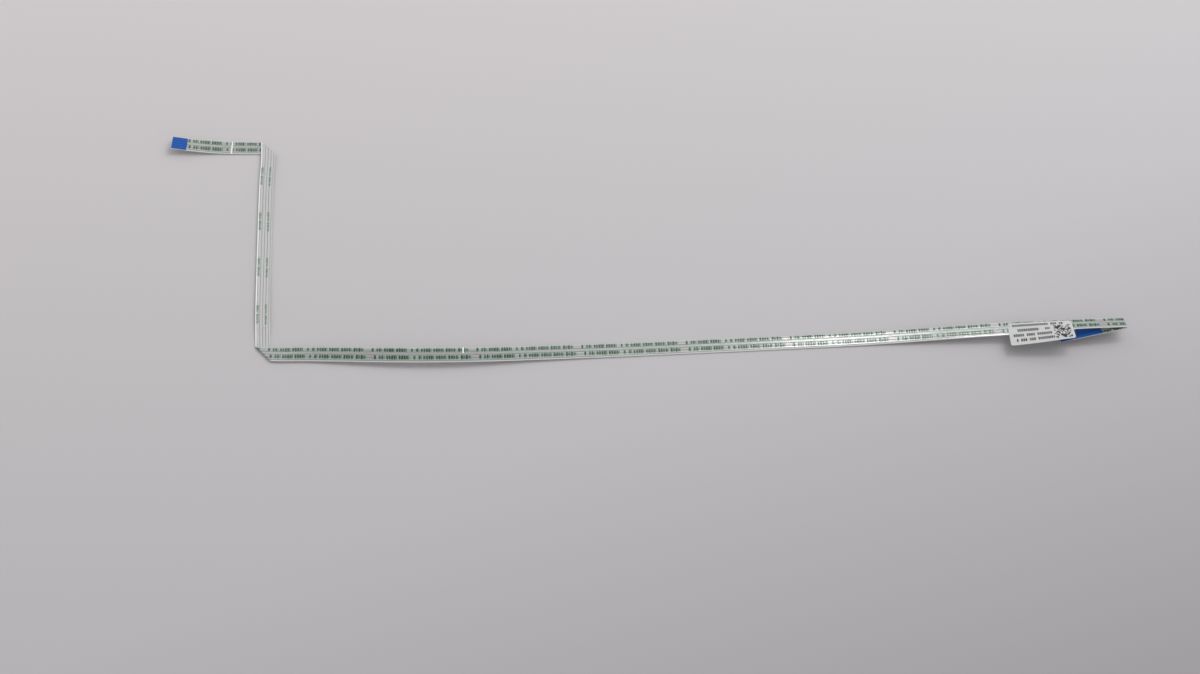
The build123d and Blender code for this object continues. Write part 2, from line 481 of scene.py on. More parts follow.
@dataclass
class Ribbon:
    """The whole ribbon's route over the table.

    Lengths are in mm and angles in degrees. A row of a route is a control point and the
    ribbon's roll there. The last fold's turn is looked for within under_turns.
    """

    section: Section = field(default_factory=Section)
    fold_radius: float = 0.30
    straight_at_fold: float = 5.0
    under_fold_skew: float = -2.1
    under_turns: tuple[float, float] = (150.0, 180.0)
    under_tries: int = 40
    tail_length: float = 22.6
    arm_route: tuple = (
        (-166.2, 42.25, 2.70, 0.0),
        (-162.2, 41.98, 2.05, 0.0),
        (-158.2, 41.71, 1.40, 0.0),
        (-150.0, 41.50, 0.45, 3.0),
        (-142.0, 41.40, 0.11, 0.0),
        (-132.5, 41.40, 0.11, 0.0),
    )
    upright_route: tuple = (
        (-131.45, 29.0, 0.62, 0.0),
        (-130.85, 15.5, 0.45, -3.0),
        (-130.10, 1.5, 0.42, -5.0),
        (-129.35, -13.0, 0.46, -3.0),
        (-128.57, -25.5, 0.80, 0.0),
        (-128.13, -31.5, 0.55, 0.0),
        (-127.72, -36.8, 0.11, 0.0),
        (-127.45, -40.1, 0.11, 0.0),
    )
    long_route: tuple = (
        (-113.5, -41.00, 0.95, 9.0),
        (-101.0, -41.50, 1.65, 13.0),
        (-87.5, -42.10, 2.45, 15.0),
        (-73.5, -42.40, 2.90, 15.0),
        (-60.0, -42.15, 2.65, 13.0),
        (-46.5, -41.45, 1.80, 10.0),
        (-33.0, -40.55, 1.00, 7.0),
        (-19.5, -39.80, 0.50, 4.0),
        (-3.0, -39.00, 0.11, 0.0),
        (32.5, -37.22, 0.11, 0.0),
        (68.0, -35.40, 0.11, 0.0),
        (82.0, -34.60, 0.40, 0.0),
        (96.0, -33.85, 1.10, -1.0),
        (110.0, -33.15, 2.10, -5.0),
        (122.5, -32.60, 2.90, -5.0),
        (135.0, -32.05, 3.75, -12.0),
        (147.0, -31.50, 4.50, -24.0),
        (156.0, -31.20, 4.75, -25.0),
        (165.3, -30.95, 4.90, -25.0),
    )
    legs: list[Leg] = field(default_factory=list)
    folds: list[Fold] = field(default_factory=list)

    def lay(self) -> None:
        """Lay the legs and folds one after another, from the left-hand end."""
        arm = Leg("arm", list(self.arm_route), 1)
        arm.lay(0.0)
        first = self.fold_towards(arm, self.upright_route[0], 1)
        upright = self.leg_after(first, "upright", self.upright_route, -1)
        second = self.fold_towards(upright, self.long_route[0], -1)
        long_run = self.leg_after(second, "long_run", self.long_route, 1)
        under = self.fold_under(long_run)
        tail = Leg("tail", [], -1, under.end, [under.after()], [0.0])
        self.legs = [arm, upright, long_run, tail]
        self.folds = [first, second, under]

    @property
    def length(self) -> float:
        """The ribbon's length when laid flat."""
        return self.folds[-1].end + self.tail_length

    def fold_towards(self, leg: Leg, target: Sequence[float], side: int) -> Fold:
        """Fold flat at a leg's end, so that the ribbon then runs towards a point.

        Args:
            leg: The leg that ends at the fold.
            target: The next leg's first point of its own.
            side: 1 to fold towards the printed face, -1 to fold away from it.

        Returns:
            The fold.
        """
        before = leg.placings[-1]
        ahead = Vector(target[:3]) - before.origin
        change = math.atan2(ahead.y, ahead.x) - math.atan2(before.along.y, before.along.x)
        skew = (abs(math.degrees(change)) - 180.0) / 2
        return Fold(self.fold_radius, 180.0, skew, side, before, leg.end)

    def leg_after(self, fold: Fold, name: str, route: tuple, printed_side: int) -> Leg:
        """Lay the leg that follows a fold; its first run keeps the fold's direction.

        Args:
            fold: The fold.
            name: The leg's name.
            route: The leg's own control points.
            printed_side: 1 where the printed face is up, -1 where it is down.

        Returns:
            The leg.
        """
        start = fold.after()
        ahead = start.origin + start.along * self.straight_at_fold
        first = [(place.x, place.y, place.z, 0.0) for place in (start.origin, ahead)]
        leg = Leg(name, first + list(route), printed_side)
        leg.lay(fold.end)
        return leg

    def fold_under(self, leg: Leg) -> Fold:
        """Fold the ribbon back under itself until the tail's tip meets the table.

        Args:
            leg: The leg that ends at the fold.

        Returns:
            The fold.
        """
        low, high = self.under_turns
        for _ in range(self.under_tries):
            turn = (low + high) / 2
            fold = Fold(
                self.fold_radius, turn, self.under_fold_skew, -1, leg.placings[-1], leg.end
            )
            start = fold.after()
            reach = self.section.width / 2
            tip = [start.point(self.tail_length, offset, 0.0).z for offset in (-reach, reach)]
            if min(tip) < 0:
                low = turn
            else:
                high = turn
        return fold

    def place(self, distance: float, offset: float, height: float) -> Vector:
        """Carry a point of the flat ribbon to its place on the table.

        Args:
            distance: Distance along the ribbon, in mm.
            offset: Distance across it from its middle, in mm.
            height: Height off its middle layer towards the printed face, in mm.

        Returns:
            The point in the part's frame, in metres.
        """
        for leg, fold in zip(self.legs, self.folds):
            depth = fold.depth(distance, offset)
            if depth <= 0:
                return (leg.point(distance, offset, height) + TO_BOX_CENTRE) * MM
            if depth < fold.width:
                return (fold.point(distance, offset, height) + TO_BOX_CENTRE) * MM
        return (self.legs[-1].point(distance, offset, height) + TO_BOX_CENTRE) * MM

    def centre_line(self) -> list[Vector]:
        """Give the points that the ribbon's middle follows.

        Returns:
            The points, in metres.
        """
        distances: list[float] = []
        for leg in self.legs[:-1]:
            distances += [leg.start + run for run in leg.runs]
        steps = 8
        for fold in self.folds:
            step = (fold.end - fold.begin) / steps
            distances += [fold.begin + step * number for number in range(1, steps)]
        distances += [self.folds[-1].end, self.length]
        return [self.place(distance, 0.0, 0.0) for distance in sorted(distances)]


# ---------------------------------------------------------------- flat blanks


class Finish(Enum):
    """Which of a piece's materials a face takes."""

    OUTER = 0
    INNER = 1


@dataclass
class Blank:
    """A rectangle cut from sheet, drawn along and across the flat ribbon, in mm.

    It lies from start to end along the ribbon, and between the offsets low and high.
    A cut passes through corners within snap of it, and edges are sharp from sharp_from
    degrees.
    """

    ribbon: Ribbon
    start: float
    end: float
    low: float
    high: float
    mesh: bmesh.types.BMesh = field(default_factory=bmesh.new)
    snap: float = 0.0005
    fold_steps: int = 12
    sharp_from: float = 38.0

    def __post_init__(self) -> None:
        """Draw the rectangle."""
        size = (self.end - self.start, self.high - self.low, 1)
        middle = ((self.start + self.end) / 2, (self.low + self.high) / 2, 0)
        made = bmesh.ops.create_grid(self.mesh, x_segments=1, y_segments=1, size=0.5)
        bmesh.ops.scale(self.mesh, vec=size, verts=made["verts"])
        bmesh.ops.translate(self.mesh, vec=middle, verts=made["verts"])

    def round_corners(self, radius: float, segments: int) -> None:
        """Round the corners of the rectangle.

        Args:
            radius: Their radius.
            segments: How many runs each has.
        """
        bmesh.ops.bevel(
            self.mesh,
            geom=self.mesh.verts[:],
            offset=radius,
            segments=segments,
            profile=0.5,
            affect="VERTICES",
            material=-1,
        )

    def cut(self, place: tuple[float, float], normal: tuple[float, float]) -> None:
        """Score the sheet along a straight line, so that it can bend there.

        Args:
            place: A point of the line.
            normal: The direction square to it.
        """
        bmesh.ops.bisect_plane(
            self.mesh,
            geom=self.mesh.verts[:] + self.mesh.edges[:] + self.mesh.faces[:],
            dist=self.snap,
            plane_co=(place[0], place[1], 0),
            plane_no=(normal[0], normal[1], 0),
        )

    def score_across(self, step: float) -> None:
        """Score the sheet square across at a regular step.

        Args:
            step: About how far apart the scores lie.
        """
        length = self.end - self.start
        count = max(1, round(length / step))
        for number in range(1, count):
            self.cut((self.start + length * number / count, 0), (1, 0))

    def score_along(self, offsets: Iterable[float]) -> None:
        """Score the sheet lengthwise at some offsets."""
        for offset in offsets:
            self.cut((0, offset), (0, 1))

    def score_folds(self) -> None:
        """Score the sheet along each crease, as often as the bend needs."""
        for fold in self.ribbon.folds:
            skew = math.radians(fold.skew)
            for number in range(self.fold_steps + 1):
                reach = fold.width * number / self.fold_steps / math.cos(skew)
                self.cut((fold.begin + reach, 0), (math.cos(skew), -math.sin(skew)))

    def thicken(self) -> set[Corner]:
        """Give the sheet a second face, 1 mm up, and keep its corners' places as their UVs.

        Returns:
            The second face's corners.
        """
        made = bmesh.ops.extrude_face_region(self.mesh, geom=self.mesh.faces[:])
        top = [item for item in made["geom"] if isinstance(item, Corner)]
        bmesh.ops.translate(self.mesh, vec=(0, 0, 1), verts=top)
        bmesh.ops.recalc_face_normals(self.mesh, faces=self.mesh.faces[:])
        layer = self.mesh.loops.layers.uv.new(FLAT_MAP)
        for face in self.mesh.faces:
            for loop in face.loops:
                loop[layer].uv = (loop.vert.co.x, loop.vert.co.y)
        return set(top)

    def carry(self, height: Callable[[Corner], float]) -> None:
        """Carry the piece along the ribbon's route to its place on the table.

        Args:
            height: Gives a corner's height off the ribbon's middle layer, in mm.
        """
        for corner in self.mesh.verts:
            corner.co = self.ribbon.place(corner.co.x, corner.co.y, height(corner))
        bmesh.ops.recalc_face_normals(self.mesh, faces=self.mesh.faces[:])

    def finish(self, name: str, materials: Sequence[bpy.types.Material]) -> bpy.types.Object:
        """Make the object of the mesh and put it in the scene.

        Args:
            name: The piece's name.
            materials: Its materials, in the order of Finish.

        Returns:
            The object, at the origin, with its place in its mesh.
        """
        bmesh.ops.triangulate(
            self.mesh, faces=[face for face in self.mesh.faces if len(face.verts) > 4]
        )
        data = bpy.data.meshes.new(name)
        self.mesh.to_mesh(data)
        self.mesh.free()
        for material in materials:
            data.materials.append(material)
        data.polygons.foreach_set("use_smooth", [True] * len(data.polygons))
        data.set_sharp_from_angle(angle=math.radians(self.sharp_from))
        piece = bpy.data.objects.new(name, data)
        bpy.context.scene.collection.objects.link(piece)
        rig.ride(piece, "root")
        log.info("%s: %d faces", name, len(data.polygons))
        return piece


# ---------------------------------------------------------------- materials


@dataclass
class Surface:
    """A material, or the room round the table, and the nodes that make it."""

    name: str
    of_room: bool = False
    owner: Union[bpy.types.Material, bpy.types.World, None] = None

    def __post_init__(self) -> None:
        """Make the material or the room, with no nodes."""
        kind = bpy.data.worlds if self.of_room else bpy.data.materials
        self.owner = kind.new(self.name)
        self.owner.use_nodes = True
        self.owner.node_tree.nodes.clear()

    def add(
        self,
        kind: str,
        inputs: Union[Sequence[object], dict[Union[str, int], object]] = (),
        output: Union[str, int] = 0,
        **settings: object,
    ) -> Socket:
        """Add a node, set it and link it.

        Args:
            kind: The node's type, without its first word ShaderNode.
            inputs: Values or sockets for its inputs, in order, or by name or number.
            output: The output to return, by name or number.
            **settings: The node's own properties.

        Returns:
            The chosen output, or the node's first input where it has no output.
        """
        node = self.owner.node_tree.nodes.new(f"ShaderNode{kind}")
        for setting, value in settings.items():
            setattr(node, setting, value)
        pairs = inputs.items() if isinstance(inputs, dict) else enumerate(inputs)
        for key, value in pairs:
            if isinstance(value, Socket):
                self.owner.node_tree.links.new(value, node.inputs[key])
            else:
                node.inputs[key].default_value = value
        return node.outputs[output] if node.outputs else node.inputs[0]

    def flat_place(self) -> tuple[Socket, Socket]:
        """Read a point's place on the flat ribbon from the piece's UV map.

        Returns:
            The distance along the ribbon and the offset across it, in mm.
        """
        place = self.add("UVMap", uv_map=FLAT_MAP)
        split = self.add("SeparateXYZ", (place,))
        return split, split.node.outputs[1]

    def streaks(self, per_mm: tuple[float, float], detail: float, rough: float) -> Socket:
        """Draw noise that is drawn out along the ribbon.

        Args:
            per_mm: How many streaks a millimetre holds, along the ribbon and across it.
            detail: How many finer layers of noise it has.
            rough: How strong each finer layer is.

        Returns:
            The noise, from 0 to 1.
        """
        place = self.add("UVMap", uv_map=FLAT_MAP)
        place = self.add("Mapping", {"Vector": place, "Scale": (*per_mm, 1.0)})
        return self.add(
            "TexNoise",
            {"Vector": place, "Scale": 1.0, "Detail": detail, "Roughness": rough},
            noise_dimensions="2D",
        )

    def waves(self) -> Socket:
        """Give the slight waves, 6 mm long and 0.6 mm wide, that a laminated ribbon keeps.

        Returns:
            The bumped normal.
        """
        wave = self.streaks(per_mm=(0.16, 1.6), detail=2.5, rough=0.55)
        return self.add("Bump", {"Height": wave, "Strength": 1.0, "Distance": WAVE_DEPTH * MM})

    def marks(
        self, run: Socket, width: float, fill: float, missing: float, seed: float
    ) -> tuple[Socket, Socket]:
        """Draw marks of one width side by side, with some of them missing.

        Args:
            run: Distance along the row, in mm.
            width: A mark and the space after it, in mm.
            fill: The mark's share of that.
            missing: The share of the marks that are missing.
            seed: Where the row's noise begins.

        Returns:
            Where there is a mark, 0 or 1, and a random value of each mark's own.
        """
        cell = self.add("Math", (run, width), operation="DIVIDE")
        number = self.add("Math", (cell,), operation="FLOOR")
        seeded = self.add("Math", (number, seed), operation="ADD")
        chance = self.add("TexWhiteNoise", {"W": seeded}, noise_dimensions="1D")
        shown = self.add("Math", (chance, missing), operation="GREATER_THAN")
        place = self.add("Math", (cell,), operation="FRACT")
        inside = self.add("Math", (place, fill), operation="LESS_THAN")
        return self.add("Math", (shown, inside), operation="MULTIPLY"), chance

    def close(self, shader: Socket) -> Union[bpy.types.Material, bpy.types.World]:
        """Link the shader to the output and give what it belongs to."""
        self.add(f"Output{'World' if self.of_room else 'Material'}", (shader,))
        return self.owner


@dataclass(frozen=True)
class PrintRow:
    """A row of small printed marks along the ribbon, grouped into words, in mm.

    Strokes of real print are about 0.15 mm wide, too fine to show in the picture, so
    they are drawn twice as wide. Light and heavy give such a stroke's reach, as a share
    of the height, and its darkness. The tint fades between two shares of the height.
    """

    offset: float
    first: float
    period: float = 35.6
    gap: float = 2.2
    height: float = 1.25
    seed: float = 3.0
    start: float = 0.0
    strength: float = 1.0
    mark: float = 0.84
    mark_fill: float = 0.83
    missing: float = 0.05
    word: float = 4.18
    word_fill: float = 0.87
    stroke: float = 0.30
    stroke_seed: float = 50.0
    light: tuple[float, float] = (0.40, 0.74)
    heavy: tuple[float, float] = (0.54, 1.29)
    tint_edge: tuple[float, float] = (0.55, 0.95)

    def ink(self, surface: Surface) -> tuple[Socket, Socket]:
        """Draw the row.

        Args:
            surface: The material to draw it in.

        Returns:
            Where there is ink, and where its soft tint lies round it, each from 0 to 1.
        """
        run, offset = surface.flat_place()
        moved = surface.add("Math", (run, self.first), operation="SUBTRACT")
        phrase = surface.add("Math", (moved, self.period), operation="FLOORED_MODULO")
        in_phrase = surface.add("Math", (phrase, self.period - self.gap), operation="LESS_THAN")
        begun = surface.add("Math", (run, self.start), operation="GREATER_THAN")
        in_phrase = surface.add("Math", (in_phrase, begun), operation="MULTIPLY")
        marks, _ = surface.marks(phrase, self.mark, self.mark_fill, self.missing, self.seed)
        word = surface.add("Math", (phrase, self.word), operation="DIVIDE")
        word = surface.add("Math", (word,), operation="FRACT")
        in_word = surface.add("Math", (word, self.word_fill), operation="LESS_THAN")
        stroke = surface.add("Math", (phrase, self.stroke), operation="DIVIDE")
        stroke = surface.add("Math", (stroke,), operation="FLOOR")
        stroke = surface.add("Math", (stroke, self.seed + self.stroke_seed), operation="ADD")
        weight = surface.add("TexWhiteNoise", {"W": stroke}, noise_dimensions="1D")
        reach, density = (
            surface.add(
                "Math", (weight, (heavy - light) * scale, light * scale), operation="MULTIPLY_ADD"
            )
            for light, heavy, scale in zip(self.light, self.heavy, (self.height, self.strength))
        )
        ink = surface.add("Math", (offset, self.offset, reach), operation="COMPARE")
        for share in (density, marks, in_word, in_phrase):
            ink = surface.add("Math", (ink, share), operation="MULTIPLY")
        away = surface.add("Math", (offset, self.offset), operation="SUBTRACT")
        away = surface.add("Math", (away,), operation="ABSOLUTE")
        near, far = (self.height * share for share in self.tint_edge)
        tint = surface.add("MapRange", (away, near, far, 1.0, 0.0))
        return ink, surface.add("Math", (tint, in_phrase), operation="MULTIPLY")


@dataclass(frozen=True)
class CreaseGlint:
    """A line across the ribbon where it was once bent sharply: the film stands up a little there, and a white
    highlight is painted along it.
    """

    distance: float
    low: float = -2.6
    high: float = 2.6
    half: float = 0.28
    rise: float = 0.05
    spread: float = 0.45

    def scores(self) -> list[float]:
        """Give the distances along the ribbon at which the film turns there."""
        return [self.distance + share * self.spread for share in (-1, -1 / 3, 0, 1 / 3, 1)]

    def height(self, run: float, offset: float) -> float:
        """Say how far the film stands up at a point.

        Args:
            run: Distance along the ribbon, in mm.
            offset: Offset across it, in mm.

        Returns:
            The height, in mm.
        """
        if not self.low < offset < self.high:
            return 0.0
        return self.rise * max(0.0, 1 - abs(run - self.distance) / self.spread)

    def white(self, surface: Surface) -> Socket:
        """Draw the line's painted white highlight.

        Args:
            surface: The material to draw it in.

        Returns:
            Where the painted highlight lies, 0 or 1.
        """
        run, offset = surface.flat_place()
        middle, reach = (self.low + self.high) / 2, (self.high - self.low) / 2
        along = surface.add("Math", (run, self.distance, self.half), operation="COMPARE")
        across = surface.add("Math", (offset, middle, reach), operation="COMPARE")
        return surface.add("Math", (along, across), operation="MULTIPLY")


@dataclass(frozen=True)
class Coat:
    """Something on or in the clear film, or light or shade painted on it: where, its colour, how far it tints and
    hides.
    """

    share: Socket
    colour: str
    tinting: float = 1.0
    hiding: float = 1.0


@dataclass(frozen=True)
class PolyesterFilm:
    """Clear polyester film, drawn and laminated.

    It is glossy but a little milky from the adhesive, so it half hides the conductors
    and looks whiter at the margins, where one film is bonded straight to the other; that
    lighter margin colour is also a painted highlight along the curved edges. A white
    highlight is painted along one edge, on the side and at the strength given, and shade
    is painted in the dips between the conductors. Sizes are in mm, and haze says how
    milky the margins are.
    """

    name: str
    glint_side: float
    glint_strength: float
    haze: float
    clear: str = "#c4c3c2"
    # Painted shade for the dips between the conductors.
    gap_shade: str = "#8c8c90"
    # Lighter for the milky bonded margins, and also a painted highlight along the curved edges.
    margin: str = "#d6d6d4"
    ink: str = "#014322"
    tint: str = "#8fcfa4"
    # White for the highlights painted along one edge and along the creases.
    white: str = "#f4f4f2"
    milkiness: float = 0.60
    margin_edge: tuple[float, float] = (2.00, 2.10)
    glint_edge: tuple[float, float] = (1.98, 2.08)
    gap_shade_half: float = 0.13
    roughness: float = 0.13
    coat_roughness: float = 0.12
    ior: float = 1.60

    def outer(self, rows: Sequence[PrintRow], lines: Sequence[CreaseGlint]) -> bpy.types.Material:
        """Make the outer face.

        Args:
            rows: The rows of green print.
            lines: The creases, each with a white highlight painted along it.

        Returns:
            The material.
        """
        surface = Surface(f"Polyester film, {self.name}")
        _, offset = surface.flat_place()
        away = surface.add("Math", (offset,), operation="ABSOLUTE")
        # The margins take a lighter colour: the film bonded straight to film is milky there, and the lighter colour
        # also paints a highlight along the curved edges.
        margin = surface.add(
            "MapRange", (away, *self.margin_edge), interpolation_type="SMOOTHSTEP"
        )
        # A white highlight is painted along one edge of the film.
        glint = surface.add("Math", (offset, self.glint_side), operation="MULTIPLY")
        glint = surface.add("MapRange", (glint, *self.glint_edge), interpolation_type="SMOOTHSTEP")
        glint = surface.add("Math", (glint, self.glint_strength), operation="MULTIPLY")
        # The film dips midway between two conductors, and a dark line of painted shade is laid
        # there. The ten whole pitches in 10.5 keep the value above zero, and the half puts the
        # dip at 0.5.
        place = surface.add("Math", (offset, 1 / PITCH, 10.5), operation="MULTIPLY_ADD")
        place = surface.add("Math", (place,), operation="FRACT")
        gap = surface.add("Math", (place, 0.5, self.gap_shade_half), operation="COMPARE")
        inner = surface.add("Math", (1.0, margin), operation="SUBTRACT")
        gap = surface.add("Math", (gap, inner), operation="MULTIPLY")
        coats = [Coat(glint, self.white), Coat(gap, self.gap_shade, hiding=0.5)]
        for row in rows:
            ink, tint = row.ink(surface)
            coats += [Coat(tint, self.tint, tinting=0.27, hiding=0.38), Coat(ink, self.ink)]
        # Each crease gets a white highlight painted along it.
        coats += [Coat(line.white(surface), self.white, hiding=0.95) for line in lines]
        colour = surface.add(
            "Mix",
            {0: margin, 6: linear(self.clear), 7: linear(self.margin)},
            output=2,
            data_type="RGBA",
        )
        cover = surface.add(
            "Math", (margin, self.haze - self.milkiness, self.milkiness), operation="MULTIPLY_ADD"
        )
        for coat in coats:
            paint = surface.add("Math", (coat.share, coat.tinting), operation="MULTIPLY")
            colour = surface.add(
                "Mix", {0: paint, 6: colour, 7: linear(coat.colour)}, output=2, data_type="RGBA"
            )
            hidden = surface.add("Math", (coat.share, coat.hiding), operation="MULTIPLY")
            cover = surface.add("Math", (cover, hidden), operation="MAXIMUM")
        shader = surface.add(
            "BsdfPrincipled",
            {
                "Base Color": colour,
                "Roughness": self.roughness,
                "IOR": self.ior,
                "Specular IOR Level": 0.5,
                "Coat Weight": 1.0,
                "Coat Roughness": self.coat_roughness,
                "Coat IOR": self.ior,
                "Alpha": cover,
                "Normal": surface.waves(),
            },
        )
        return surface.close(shader)

    def inner(self) -> bpy.types.Material:
        """Make the bonded inner face, which hardly shows.

        Returns:
            The material.
        """
        surface = Surface(f"Film bond, {self.name}")
        shader = surface.add(
            "BsdfPrincipled",
            {"Base Color": linear(self.clear), "Roughness": 0.6, "IOR": 1.50, "Alpha": 0.08},
        )
        return surface.close(shader)


@dataclass(frozen=True)
class TinnedCopper:
    """Copper wire rolled flat, with bright tin plating, so its gloss has lengthwise lines."""

    colour: str = "#d2d0ce"
    roughness: float = 0.18
    varies: float = 0.12

    def material(self) -> bpy.types.Material:
        """Make the metal, with rolled lines 0.06 mm wide, which show only close up.

        Returns:
            The material.
        """
        surface = Surface("Tinned copper, rolled")
        lines = surface.streaks(per_mm=(0.12, 18.0), detail=3.0, rough=0.5)
        rough = surface.add(
            "Math",
            (lines, self.varies, self.roughness - self.varies / 2),
            operation="MULTIPLY_ADD",
        )
        shader = surface.add(
            "BsdfPrincipled",
            {
                "Base Color": linear(self.colour),
                "Metallic": 1.0,
                "Roughness": rough,
                "Normal": surface.waves(),
            },
        )
        return surface.close(shader)


@dataclass(frozen=True)
class BlueStiffener:
    """Dyed polyester stiffener, satin, bonded behind the contacts."""

    colour: str = "#065eb8"
    # A darker blue, painted as shade in the dips between the conductors.
    shade: str = "#0a4690"

    def material(self) -> bpy.types.Material:
        """Make the blue film, with shade painted between the conductors, where its face dips.

        Returns:
            The material.
        """
        surface = Surface("Polyester stiffener, blue")
        _, offset = surface.flat_place()
        angle = surface.add("Math", (offset, 2 * math.pi / PITCH), operation="MULTIPLY")
        wave = surface.add("Math", (angle,), operation="COSINE")
        share = surface.add("Math", (wave, 0.5, 0.5), operation="MULTIPLY_ADD")
        colour = surface.add(
            "Mix",
            {0: share, 6: linear(self.colour), 7: linear(self.shade)},
            output=2,
            data_type="RGBA",
        )
        shader = surface.add(
            "BsdfPrincipled",
            {"Base Color": colour, "Roughness": 0.45, "IOR": 1.45, "Specular IOR Level": 0.35},
        )
        return surface.close(shader)


@dataclass(frozen=True)
class MarkRow:
    """A row of plain marks on the label, in mm from its far edge and its left edge."""

    middle: float
    start: float
    end: float
    height: float
    seed: float


@dataclass(frozen=True)
class LabelPaper:
    """Coated label paper with thermal print, matt and close to white.

    The print is plain marks in rows, and a block of squares that mean nothing.
    """

    paper: str = "#c1c1c0"
    ink: str = "#141417"
    ior: float = 1.48
    rows: tuple[MarkRow, ...] = (
        MarkRow(1.10, 0.4, 19.9, 0.95, 37.0),
        MarkRow(3.10, 3.0, 10.2, 1.15, 74.0),
        MarkRow(3.05, 12.1, 13.9, 0.90, 111.0),
        MarkRow(5.15, 1.2, 14.4, 1.10, 148.0),
        MarkRow(7.15, 1.8, 14.8, 1.15, 185.0),
    )
    mark: float = 0.72
    mark_fill: float = 0.74
    missing: float = 0.14
    palest: float = 0.88
    varies: float = 0.15
    strength: float = 0.97
    block_place: tuple[float, float] = (15.1, 2.0)
    block_size: tuple[float, float] = (5.6, 6.2)
    block_cells: int = 12
    block_bare: float = 0.46

    def back(self) -> bpy.types.Material:
        """Make the label's plain back, dulled by its clear adhesive.

        Returns:
            The material.
        """
        surface = Surface("Label paper, adhesive side")
        shader = surface.add(
            "BsdfPrincipled",
            {"Base Color": linear(self.paper), "Roughness": 0.70, "IOR": self.ior},
        )
        return surface.close(shader)

    def front(self, start: float, far: float) -> bpy.types.Material:
        """Make the printed face.

        Args:
            start: Distance along the ribbon of the label's left edge, in mm.
            far: Offset of its far edge, in mm.

        Returns:
            The material.
        """
        surface = Surface("Label paper, coated")
        run, offset = surface.flat_place()
        right = surface.add("Math", (run, start), operation="SUBTRACT")
        down = surface.add("Math", (far, offset), operation="SUBTRACT")
        ink = self.block(surface, right, down)
        for row in self.rows:
            mark, chance = surface.marks(right, self.mark, self.mark_fill, self.missing, row.seed)
            middle, reach = (row.start + row.end) / 2, (row.end - row.start) / 2
            for share in (
                surface.add("Math", (right, middle, reach), operation="COMPARE"),
                surface.add("Math", (down, row.middle, row.height / 2), operation="COMPARE"),
                surface.add("Math", (chance, self.varies, self.palest), operation="MULTIPLY_ADD"),
            ):
                mark = surface.add("Math", (mark, share), operation="MULTIPLY")
            ink = surface.add("Math", (ink, mark), operation="MAXIMUM")
        ink = surface.add("Math", (ink, self.strength), operation="MULTIPLY")
        colour = surface.add(
            "Mix",
            {0: ink, 6: linear(self.paper), 7: linear(self.ink)},
            output=2,
            data_type="RGBA",
        )
        shader = surface.add(
            "BsdfPrincipled", {"Base Color": colour, "Roughness": 0.55, "IOR": self.ior}
        )
        return surface.close(shader)

    def block(self, surface: Surface, right: Socket, down: Socket) -> Socket:
        """Draw the block of squares.

        Args:
            surface: The material to draw it in.
            right: Distance from the label's left edge, in mm.
            down: Distance from its far edge, in mm.

        Returns:
            Where a square is dark, 0 or 1.
        """
        places, numbers = [], []
        for value, begin, size in zip((right, down), self.block_place, self.block_size):
            moved = surface.add("Math", (value, begin), operation="SUBTRACT")
            place = surface.add("Math", (moved, size / self.block_cells), operation="DIVIDE")
            places.append(place)
            numbers.append(surface.add("Math", (place,), operation="FLOOR"))
        square = surface.add("CombineXYZ", numbers)
        chance = surface.add("TexWhiteNoise", {"Vector": square}, noise_dimensions="2D")
        block = surface.add("Math", (chance, self.block_bare), operation="GREATER_THAN")
        half = self.block_cells / 2
        for place in places:
            inside = surface.add("Math", (place, half, half), operation="COMPARE")
            block = surface.add("Math", (block, inside), operation="MULTIPLY")
        return block


# ---------------------------------------------------------------- pieces


